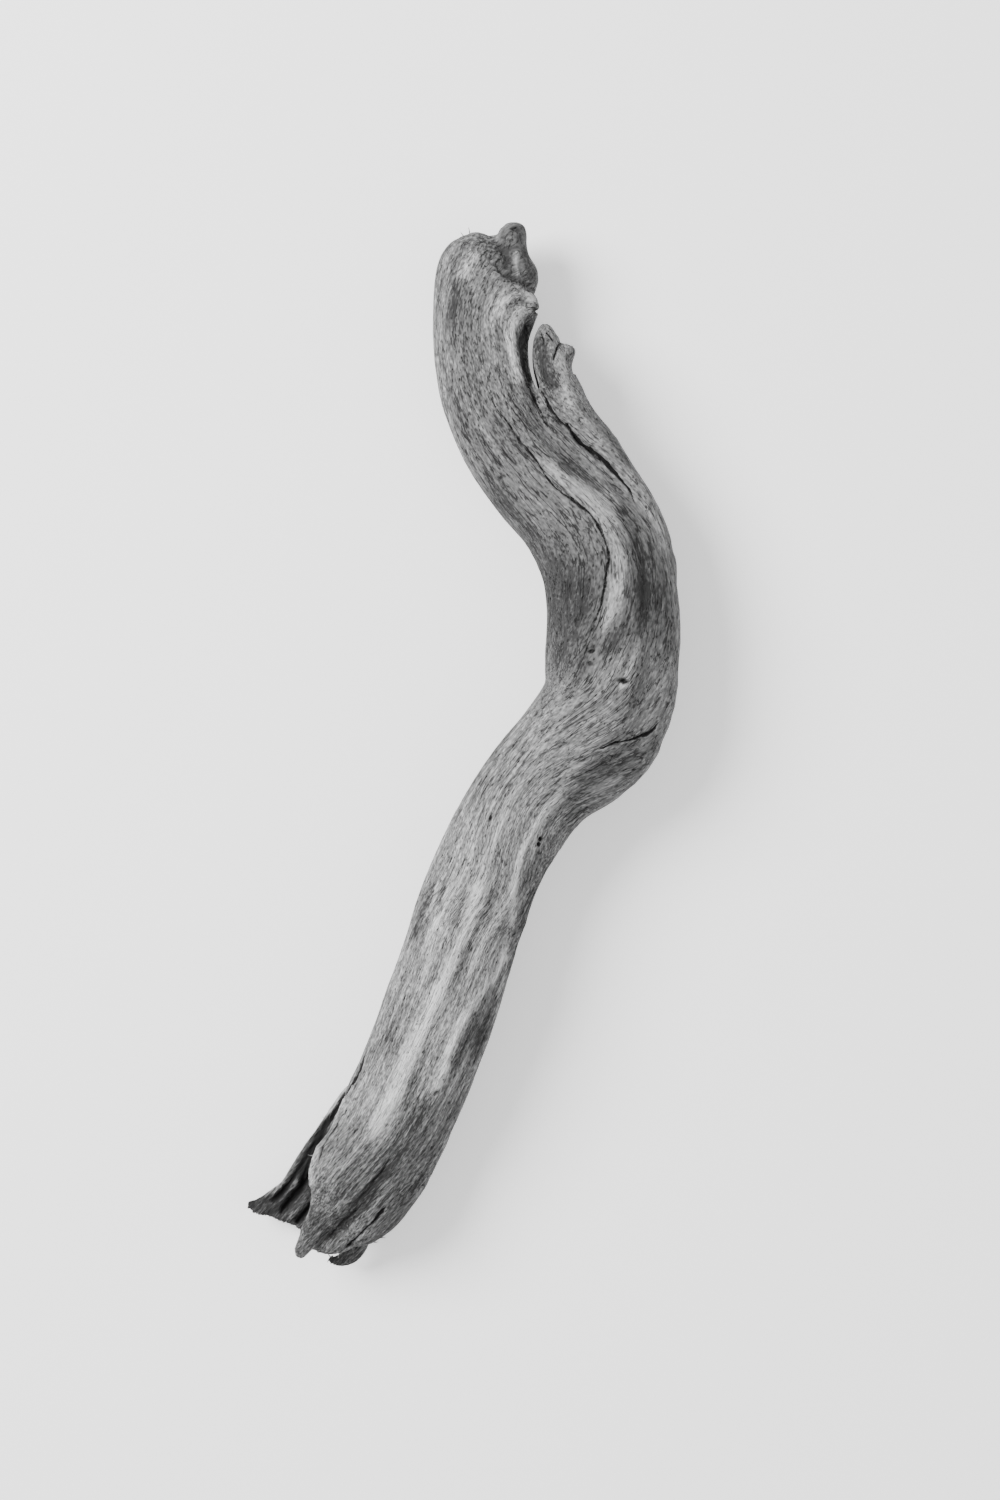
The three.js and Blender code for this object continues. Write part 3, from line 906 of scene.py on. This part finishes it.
    def _weather(self, surface: Surface) -> None:
        """Raises the fibres, bites the pits, splinters the broken ends and paints shade in the hollow."""
        surface.lift[:] = 0
        streaky = self._streaky(surface)
        waves = LatticeNoise(Seed.WAVES).layered(surface.fibre(6.5, 50), 2)
        short = LatticeNoise(Seed.SHORT_FLECKS).layered(surface.fibre(2.6, 8), 2)
        long = LatticeNoise(Seed.LONG_FLECKS).layered(surface.fibre(2.6, 30), 2)
        flecks = (short + streaky * (long - short)) * (1 - self._calm(surface))
        fine = LatticeNoise(Seed.FINE).layered(surface.fibre(1.3, 3.2), 2)
        roughness = smooth_step(-0.5, 0.6, LatticeNoise(Seed.ROUGHNESS).at(surface.fibre(16, 45)))
        wear = 0.4 + 0.6 * roughness
        surface.lift += self.relief * waves + self.fleck * wear * flecks
        surface.lift += self.grain * wear * fine
        surface.tone += 0.05 * waves + 0.035 * flecks + 0.02 * fine - 0.015
        self._pit(surface, roughness)
        self._break_ends(surface)
        self._paint_hollow_shade(surface)
        surface.lift *= 1 - self._split_walls(surface)

    def _streaky(self, surface: Surface) -> np.ndarray:
        """Where the grain is long streaks, as on the straighter stretches: elsewhere it is short."""
        upper = smooth_step(85, 110, surface.along) * smooth_step(172, 150, surface.along)
        lower = smooth_step(285, 315, surface.along)
        head = 0.5 * smooth_step(80, 60, surface.along)
        return 0.15 + 0.85 * np.maximum(np.maximum(upper, lower), head)

    def _calm(self, surface: Surface) -> np.ndarray:
        """How much fainter the grain is than elsewhere: on the knob, the upper trunk and the bend."""
        x, y, _ = surface.places.T
        knob = smooth_step(13, 19, x) * smooth_step(206, 212, y)
        bend = smooth_step(95, 130, surface.along) * smooth_step(290, 250, surface.along)
        return 0.5 * knob + 0.32 * bend

    def _hairline(self, surface: Surface) -> np.ndarray:
        """How clear the hairline cracks are: clearest from the upper trunk to below the bend."""
        return 0.3 + 0.7 * smooth_step(70, 110, surface.along) * smooth_step(300, 240, surface.along)

    def _pit(self, surface: Surface, roughness: np.ndarray) -> None:
        """Bites short pits that follow the fibres, most of them where the wood is rough."""
        often = np.clip(0.2 * roughness + surface.pits, 0, 1)
        bite = LatticeNoise(Seed.PITS).layered(surface.fibre(1.2, 3), 2)
        pits = smooth_step(0.66 - 0.4 * often, 1.05 - 0.35 * often, bite)
        surface.lift -= self.pit_depth * pits
        # The pits are darkened as painted shade.
        surface.crevice = np.maximum(surface.crevice, 0.6 * pits)

    def _break_ends(self, surface: Surface) -> None:
        """Pulls single fibres in and out where the wood is broken off across its fibres."""
        facing = np.abs((surface.normals[:, :2] * surface.heading).sum(1))
        x, y, height = surface.places.T
        back_wall = smooth_step(-196, -206, y) * smooth_step(20, 16, height) * smooth_step(-66, -70, x)
        foot = 0.5 * smooth_step(-185, -205, y)
        prong = 0.5 * smooth_step(168, 178, y) * smooth_step(30.5, 33, x)
        head = 0.2 * smooth_step(212, 226, y)
        broken = smooth_step(0.25, 0.8, facing) * np.clip(np.maximum(foot, back_wall) + prong + head, 0, 1)
        broken = broken * (1 - self._split_walls(surface))
        bundles = LatticeNoise(Seed.BUNDLES).layered(surface.fibre(2.2, 500), 3)
        surface.places[:, :2] += surface.heading * (self.splinter * bundles * broken)[:, None]
        # Broken ends are a little darker with raised fibres lighter; gaps between sunken fibres get painted
        # shade.
        surface.tone += 0.1 * bundles * broken - 0.05 * broken
        surface.crevice = np.maximum(surface.crevice, 0.4 * broken * smooth_step(0.1, -0.6, bundles))

    def _paint_hollow_shade(self, surface: Surface) -> None:
        """Darkens the inside of the hollow foot, on its floor and its roof, as painted shade."""
        height, up = surface.places[:, 2], surface.normals[:, 2]
        inside_foot = smooth_step(-146, -168, surface.places[:, 1])
        floor = smooth_step(20, 13, height) * smooth_step(0.1, 0.5, up)
        roof = smooth_step(36, 30, height) * smooth_step(14, 18, height) * smooth_step(0, -0.4, up)
        surface.tone -= 0.2 * inside_foot * np.maximum(floor, roof)

    def _store(self, mesh: bpy.types.Mesh, surface: Surface) -> None:
        """Keeps the fibre coordinates, the tones and cracks, and where each kind of grain is."""
        fibre = np.column_stack([surface.across, surface.places[:, 2], surface.along])
        values = {
            "tone": surface.tone,
            "crevice": surface.crevice,
            "crack": surface.crack,
            "streaky": self._streaky(surface),
            "calm": self._calm(surface),
            "hairline": self._hairline(surface),
        }
        store(mesh, fibre, values)


@dataclass
class LooseFibres:
    """The loose fibres that stand off the wood's edges, each a tapered thread rooted in the wood.

    Attributes:
        wood: The finished wood.
        radius: A fibre's radius at its root, in millimetres.
        rooted: How far its root runs into the wood.
        sides: How many sides it has.
        rings: How many rings it has along its length.
    """

    wood: bpy.types.Object
    radius: float = 0.4
    rooted: float = 1.4
    sides: int = 6
    rings: int = 9

    def build(self) -> bpy.types.Object:
        """Makes all of them as one mesh of closed threads.

        Returns:
            The new object, linked to the scene, with the attributes that the wood's material reads.
        """
        places = np.array([vertex.co for vertex in self.wood.data.vertices]) / unit()
        points, faces = [], []
        for fray in FRAYS:
            apart = np.linalg.norm(places[:, :2] - fray.root, axis=1)
            height = float(np.median(places[np.argsort(apart)[:60], 2]))
            faces += [[index + len(points) for index in face] for face in self._faces()]
            points += self._points(fray, height)
        mesh = bpy.data.meshes.new("driftwood_fibres")
        mesh.from_pydata([tuple(point * unit()) for point in points], [], faces)
        mesh.polygons.foreach_set("use_smooth", [True] * len(mesh.polygons))
        values = {name: np.zeros(len(points)) for name in ("crevice", "crack", "hairline", "streaky", "calm")}
        values["tone"] = np.full(len(points), AVERAGE_TONE)
        store(mesh, np.array([tuple(point) for point in points]), values)
        fibres = bpy.data.objects.new("driftwood_fibres", mesh)
        bpy.context.scene.collection.objects.link(fibres)
        LOG.info("loose fibres: %d", len(FRAYS))
        return fibres

    def _points(self, fray: Fray, height: float) -> list[Vector]:
        """The rings of one thread from its root outwards, then its tip.

        Args:
            fray: The thread.
            height: The height of its root above the floor, in millimetres.

        Returns:
            The points, in millimetres.
        """
        turn = math.radians(fray.heading)
        step = (fray.length + self.rooted) / self.rings
        middle = Vector((*fray.root, height)) - self.rooted * Vector((math.cos(turn), math.sin(turn), 0))
        points = []
        for ring in range(self.rings):
            ahead = Vector((math.cos(turn), math.sin(turn), 0))
            side = Vector((-ahead.y, ahead.x, 0))
            radius = self.radius * (1 - 0.8 * ring / self.rings)
            for corner in range(self.sides):
                angle = 2 * math.pi * corner / self.sides
                points.append(middle + radius * (math.cos(angle) * side + Vector((0, 0, math.sin(angle)))))
            middle = middle + step * ahead
            turn += math.radians(fray.curl) / self.rings
        return [*points, middle]

    def _faces(self) -> list[list[int]]:
        """The faces of one thread: its root's end, the bands between rings, and its tip."""
        tip = self.rings * self.sides
        faces = [list(range(self.sides))]
        for corner in range(self.sides):
            beside = (corner + 1) % self.sides
            for start in range(0, tip - self.sides, self.sides):
                faces.append([start + beside, start + corner, start + self.sides + corner,
                              start + self.sides + beside])  # fmt: skip
            faces.append([tip - self.sides + beside, tip - self.sides + corner, tip])
        return faces


class NodeGraph:
    """Builds a node tree with short calls."""

    def __init__(self, tree: bpy.types.NodeTree) -> None:
        """Args:
            tree: The tree that nodes are added to.
        """
        self.tree = tree

    def add(self, kind: str, inputs: dict | None = None, **settings: object) -> bpy.types.Node:
        """Adds a node.

        Args:
            kind: The node's type name.
            inputs: What goes into its sockets, by name or number: a value, or a socket to link.
            **settings: The node's own properties.

        Returns:
            The new node.
        """
        node = self.tree.nodes.new(kind)
        for name, value in settings.items():
            setattr(node, name, value)
        for key, value in (inputs or {}).items():
            if isinstance(value, bpy.types.NodeSocket):
                self.tree.links.new(value, node.inputs[key])
            else:
                node.inputs[key].default_value = value
        return node

    def attribute(self, name: str) -> bpy.types.NodeSocket:
        """The socket with one of the mesh's stored numbers."""
        return self.add("ShaderNodeAttribute", attribute_name=name).outputs["Fac"]

    def math(self, operation: str, first: object, second: object = 0.0, third: object = 0.0) -> object:
        """A math node's result.

        Args:
            operation: What it works out.
            first: Its first value or socket.
            second: Its second value or socket.
            third: Its third value or socket.

        Returns:
            The output socket.
        """
        inputs = {0: first, 1: second, 2: third}
        return self.add("ShaderNodeMath", inputs, operation=operation).outputs[0]

    def fit(self, value: object, low: float, high: float, to_low: float, to_high: float) -> object:
        """A value moved smoothly from one range to another.

        Args:
            value: The socket to read.
            low: The value that gives to_low.
            high: The value that gives to_high.
            to_low: The result at low.
            to_high: The result at high.

        Returns:
            The output socket.
        """
        inputs = {"Value": value, "From Min": low, "From Max": high, "To Min": to_low, "To Max": to_high}
        node = self.add("ShaderNodeMapRange", inputs, interpolation_type="SMOOTHSTEP")
        return node.outputs["Result"]


def node_group(name: str, inputs: dict[str, str], outputs: dict[str, str],
               fill: Callable[[NodeGraph, bpy.types.Node], dict[str, object]]) -> bpy.types.NodeTree:
    """A shader node group, made the first time it is asked for.

    Args:
        name: The group's name.
        inputs: Its input sockets' names and types.
        outputs: Its output sockets' names and types.
        fill: Adds its nodes, and returns the socket for each output's name.

    Returns:
        The group's tree.
    """
    tree = bpy.data.node_groups.get(name)
    if tree:
        return tree
    tree = bpy.data.node_groups.new(name, "ShaderNodeTree")
    for socket, kind in inputs.items():
        tree.interface.new_socket(socket, in_out="INPUT", socket_type=kind)
    for socket, kind in outputs.items():
        tree.interface.new_socket(socket, in_out="OUTPUT", socket_type=kind)
    graph = NodeGraph(tree)
    results = fill(graph, graph.add("NodeGroupInput"))
    graph.add("NodeGroupOutput", results)
    return tree


def fill_fibre_grain(graph: NodeGraph, given: bpy.types.Node) -> dict[str, object]:
    """Fibre grain from fibre coordinates: streaks, flecks, specks, hairline cracks and their height.

    Args:
        graph: The group's graph.
        given: The group's input node, with the fibre coordinates in metres.

    Returns:
        The sockets for the group's outputs.
    """

    def noise(width: float, length: float, detail: float) -> object:
        """Noise in cells of that width and length, in millimetres."""
        scale = (1 / (width * MM), 1 / (width * MM), 1 / (length * MM))
        stretched = graph.add("ShaderNodeMapping", {"Vector": given.outputs["Fibre"], "Scale": scale})
        inputs = {"Vector": stretched.outputs["Vector"], "Scale": 1.0, "Detail": detail, "Roughness": 0.5}
        return graph.add("ShaderNodeTexNoise", inputs).outputs["Fac"]

    streaks = noise(4.6, 50, 2)
    flecks = noise(2.2, 7, 1)
    strands = noise(2.2, 28, 1)
    fine = noise(0.95, 2.3, 1)
    specks = graph.fit(noise(1.2, 2.8, 1), 0.6, 0.72, 0, 1)
    gap = graph.math("ABSOLUTE", graph.math("SUBTRACT", noise(2.2, 36, 2), 0.5))
    broken_up = graph.fit(noise(3.5, 15, 1), 0.42, 0.55, 0, 1)
    lines = graph.math("MULTIPLY", graph.fit(gap, 0.005, 0.04, 1, 0), broken_up)
    ups = graph.math("MULTIPLY_ADD", strands, 0.5, fine)
    downs = graph.math("ADD", lines, graph.math("MULTIPLY", specks, 0.8))
    return {
        "Streaks": streaks,
        "Flecks": flecks,
        "Strands": strands,
        "Fine": fine,
        "Specks": specks,
        "Lines": lines,
        "Height": graph.math("SUBTRACT", ups, downs),
    }


def fibre_grain_group() -> bpy.types.NodeTree:
    """The fibre grain that every wood surface here has.

    Returns:
        The group's tree.
    """
    number = "NodeSocketFloat"
    names = ("Streaks", "Strands", "Flecks", "Fine", "Specks", "Lines", "Height")
    outputs = {name: number for name in names}
    return node_group("fibre_grain", {"Fibre": "NodeSocketVector"}, outputs, fill_fibre_grain)


@dataclass(frozen=True)
class WeatheredWood:
    """Bare wood, bleached silver grey by sun and salt water, and matt.

    Attributes:
        name: The material's name.
        dark: Its darkest grey, painted as shade in the bottom of a crack.
        low: The grey of stained wood.
        middle: Its usual grey.
        pale: The grey of bleached, worn ridges.
        contrast: How strongly the grain shows.
        bump: Depth of the finest grain, in millimetres.
        roughness: Its roughness where worn smooth, and where rough.
        shine: How much it mirrors light: bare wood does so weakly.
        crack_edge: How near its middle a crack starts to be open and painted black as shade, and is fully so.
        crack_depth: How deep the crevices and open cracks lie, in depths of the finest grain.
    """

    name: str = "weathered_wood"
    dark: float = 0.006
    low: float = 0.036
    middle: float = 0.135
    pale: float = 0.56
    contrast: float = 1.0
    bump: float = 0.45
    roughness: tuple[float, float] = (0.62, 0.95)
    shine: float = 0.25
    crack_edge: tuple[float, float] = (0.62, 0.8)
    crack_depth: float = 1.5

    def material(self) -> bpy.types.Material:
        """Makes the material.

        Returns:
            The new material.
        """
        material = bpy.data.materials.new(self.name)
        material.use_nodes = True
        graph = NodeGraph(material.node_tree)
        fibre = graph.add("ShaderNodeAttribute", attribute_name="fibre").outputs["Vector"]
        grain = graph.add("ShaderNodeGroup", {"Fibre": fibre}, node_tree=fibre_grain_group())
        light = self._lightness(graph, graph.attribute("tone"), grain)
        # Painted shade darkens crevices and the middles of open cracks, and sinks the bump there.
        painted_crevice_shade = graph.fit(graph.attribute("crevice"), 0.1, 0.9, 0, 1)
        painted_crack_shade = graph.fit(graph.attribute("crack"), *self.crack_edge, 0, 1)
        painted_shade = graph.math("MAXIMUM", painted_crevice_shade, painted_crack_shade)
        height = graph.math("MULTIPLY_ADD", painted_shade, -self.crack_depth, grain.outputs["Height"])
        bump_inputs = {"Height": height, "Distance": self.bump * MM, "Strength": 1.0}
        bump = graph.add("ShaderNodeBump", bump_inputs)
        shader = material.node_tree.nodes["Principled BSDF"]
        links = material.node_tree.links
        links.new(self._colour(graph, light, painted_shade), shader.inputs["Base Color"])
        links.new(graph.fit(light, 0.35, 0.85, *reversed(self.roughness)), shader.inputs["Roughness"])
        links.new(bump.outputs["Normal"], shader.inputs["Normal"])
        shader.inputs["Specular IOR Level"].default_value = self.shine
        return material

    def _lightness(self, graph: NodeGraph, tone: object, grain: bpy.types.Node) -> object:
        """The wood's lightness: its large tones with the grain added."""
        short = grain.outputs["Flecks"]
        longer = graph.math("SUBTRACT", grain.outputs["Strands"], short)
        flecks = graph.math("MULTIPLY_ADD", longer, graph.attribute("streaky"), short)
        total = 0.0
        for value, share in ((grain.outputs["Streaks"], 0.38), (flecks, 0.3), (grain.outputs["Fine"], 0.58)):
            offset = graph.math("SUBTRACT", value, 0.5)
            total = graph.math("MULTIPLY_ADD", offset, share * self.contrast, total)
        lines = graph.math("MULTIPLY", grain.outputs["Lines"], graph.attribute("hairline"))
        for value, share in ((grain.outputs["Specks"], -0.14), (lines, -0.3)):
            total = graph.math("MULTIPLY_ADD", value, share * self.contrast, total)
        clearness = graph.math("SUBTRACT", 1.0, graph.attribute("calm"))
        return graph.math("MULTIPLY_ADD", total, clearness, tone)

    def _colour(self, graph: NodeGraph, light: object, painted_shade: object) -> object:
        """The wood's grey for its lightness, darkened by painted shade in cracks, holes, pits and gaps."""
        ramp = graph.add("ShaderNodeValToRGB", {"Fac": light})
        stops = ((0.05, self.low * 0.4), (0.29, self.low), (0.5, self.middle), (0.94, self.pale))
        elements = ramp.color_ramp.elements
        for index, (position, grey) in enumerate(stops):
            element = elements[index] if index < 2 else elements.new(position)
            element.position = position
            element.color = (grey, grey, grey, 1)
        share, first, second = 0, 6, 7  # the Mix node's sockets for colours
        dark = (self.dark, self.dark, self.dark, 1)
        inputs = {share: painted_shade, first: ramp.outputs["Color"], second: dark}
        return graph.add("ShaderNodeMix", inputs, data_type="RGBA").outputs[2]


@dataclass(frozen=True)
class PaleFloor:
    """A plain pale studio surface, lit softly from behind as a light table is.

    Attributes:
        grey: How pale it is.
        roughness: How matt it is.
        glow: Strength of the light that comes through it.
    """

    grey: float = 0.92
    roughness: float = 0.9
    glow: float = 0.5

    def material(self) -> bpy.types.Material:
        """Makes the material.

        Returns:
            The new material.
        """
        material = bpy.data.materials.new("pale_floor")
        material.use_nodes = True
        shader = material.node_tree.nodes["Principled BSDF"]
        shader.inputs["Base Color"].default_value = (self.grey, self.grey, self.grey, 1)
        shader.inputs["Roughness"].default_value = self.roughness
        shader.inputs["Emission Color"].default_value = (1, 1, 1, 1)
        shader.inputs["Emission Strength"].default_value = self.glow
        return material


@dataclass(frozen=True)
class Studio:
    """The floor, the light and the camera.

    Attributes:
        lens: The camera's focal length, in millimetres on a sensor 36 mm high.
        view_height: How much of the floor the view takes in, as a share of the wood's length.
        view_shift: How far the view's centre is from the wood's, to the right and up, as shares
            of the wood's width and length.
        floor_half: Half the floor's side, in metres: much more than the view takes in.
        ambient: Strength of the light that comes from all round.
    """

    lens: float = 85.0
    view_height: float = 1.4284
    view_shift: tuple[float, float] = (0.083, -0.003)
    ambient: float = 0.85
    floor_half: float = 6.0

    SENSOR = 36.0  # the sensor's height, in millimetres

    def build(self, low: Vector, high: Vector) -> None:
        """Sets up the studio round the wood.

        Args:
            low: The lowest corner of the wood's box.
            high: Its highest corner.
        """
        self._floor()
        self._lights()
        self._camera(low, high)

    def _floor(self) -> None:
        """A floor much wider than the view."""
        half = self.floor_half
        mesh = bpy.data.meshes.new("floor")
        corners = [(-half, -half, 0), (half, -half, 0), (half, half, 0), (-half, half, 0)]
        mesh.from_pydata(corners, [], [(0, 1, 2, 3)])
        mesh.materials.append(PaleFloor().material())
        floor = bpy.data.objects.new("floor", mesh)
        bpy.context.scene.collection.objects.link(floor)

    def _lights(self) -> None:
        """One large soft light from the upper left, a weak one from the right, and light all round."""
        places = (
            ("key", (-1.5, 0.7, 1.5), 1.3, 115.0),
            ("fill", (1.6, -0.8, 1.8), 1.8, 8.0),
        )
        for name, place, size, power in places:
            light = bpy.data.lights.new(name, "AREA")
            light.shape = "DISK"
            light.size = size
            light.energy = power
            lamp = bpy.data.objects.new(name, light)
            lamp.location = place
            lamp.rotation_euler = (-Vector(place)).to_track_quat("-Z", "Y").to_euler()
            bpy.context.scene.collection.objects.link(lamp)
        world = bpy.data.worlds.new("studio")
        world.use_nodes = True
        world.node_tree.nodes["Background"].inputs["Color"].default_value = (1, 1, 1, 1)
        world.node_tree.nodes["Background"].inputs["Strength"].default_value = self.ambient
        bpy.context.scene.world = world

    def _camera(self, low: Vector, high: Vector) -> None:
        """A camera straight above, with the head of the wood up the picture."""
        size = high - low
        centre = (low + high) / 2
        camera = bpy.data.cameras.new("camera")
        camera.sensor_fit = "VERTICAL"
        camera.sensor_height = self.SENSOR
        camera.lens = self.lens
        distance = self.view_height * size.y * self.lens / self.SENSOR
        right, up = self.view_shift
        viewer = bpy.data.objects.new("camera", camera)
        viewer.location = (centre.x + right * size.x, centre.y + up * size.y, centre.z + distance)
        bpy.context.scene.collection.objects.link(viewer)
        bpy.context.scene.camera = viewer


def main() -> None:
    """Builds the wood, its loose fibres, their material and the studio, in that order."""
    logging.basicConfig(level=logging.INFO, format="%(name)s: %(message)s")
    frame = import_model()
    wood = Driftwood(frame["nodes"][NODE]).build()
    fibres = LooseFibres(wood).build()
    finish = WeatheredWood().material()
    for piece in (wood, fibres):
        piece.data.materials.append(finish)
        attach(piece, BODY)
        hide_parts(NODE)
        LOG.info("%s: in place", piece.name)
    Studio().build(*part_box(NODE))
    LOG.info("studio: in place")


if __name__ == "__main__":
    main()
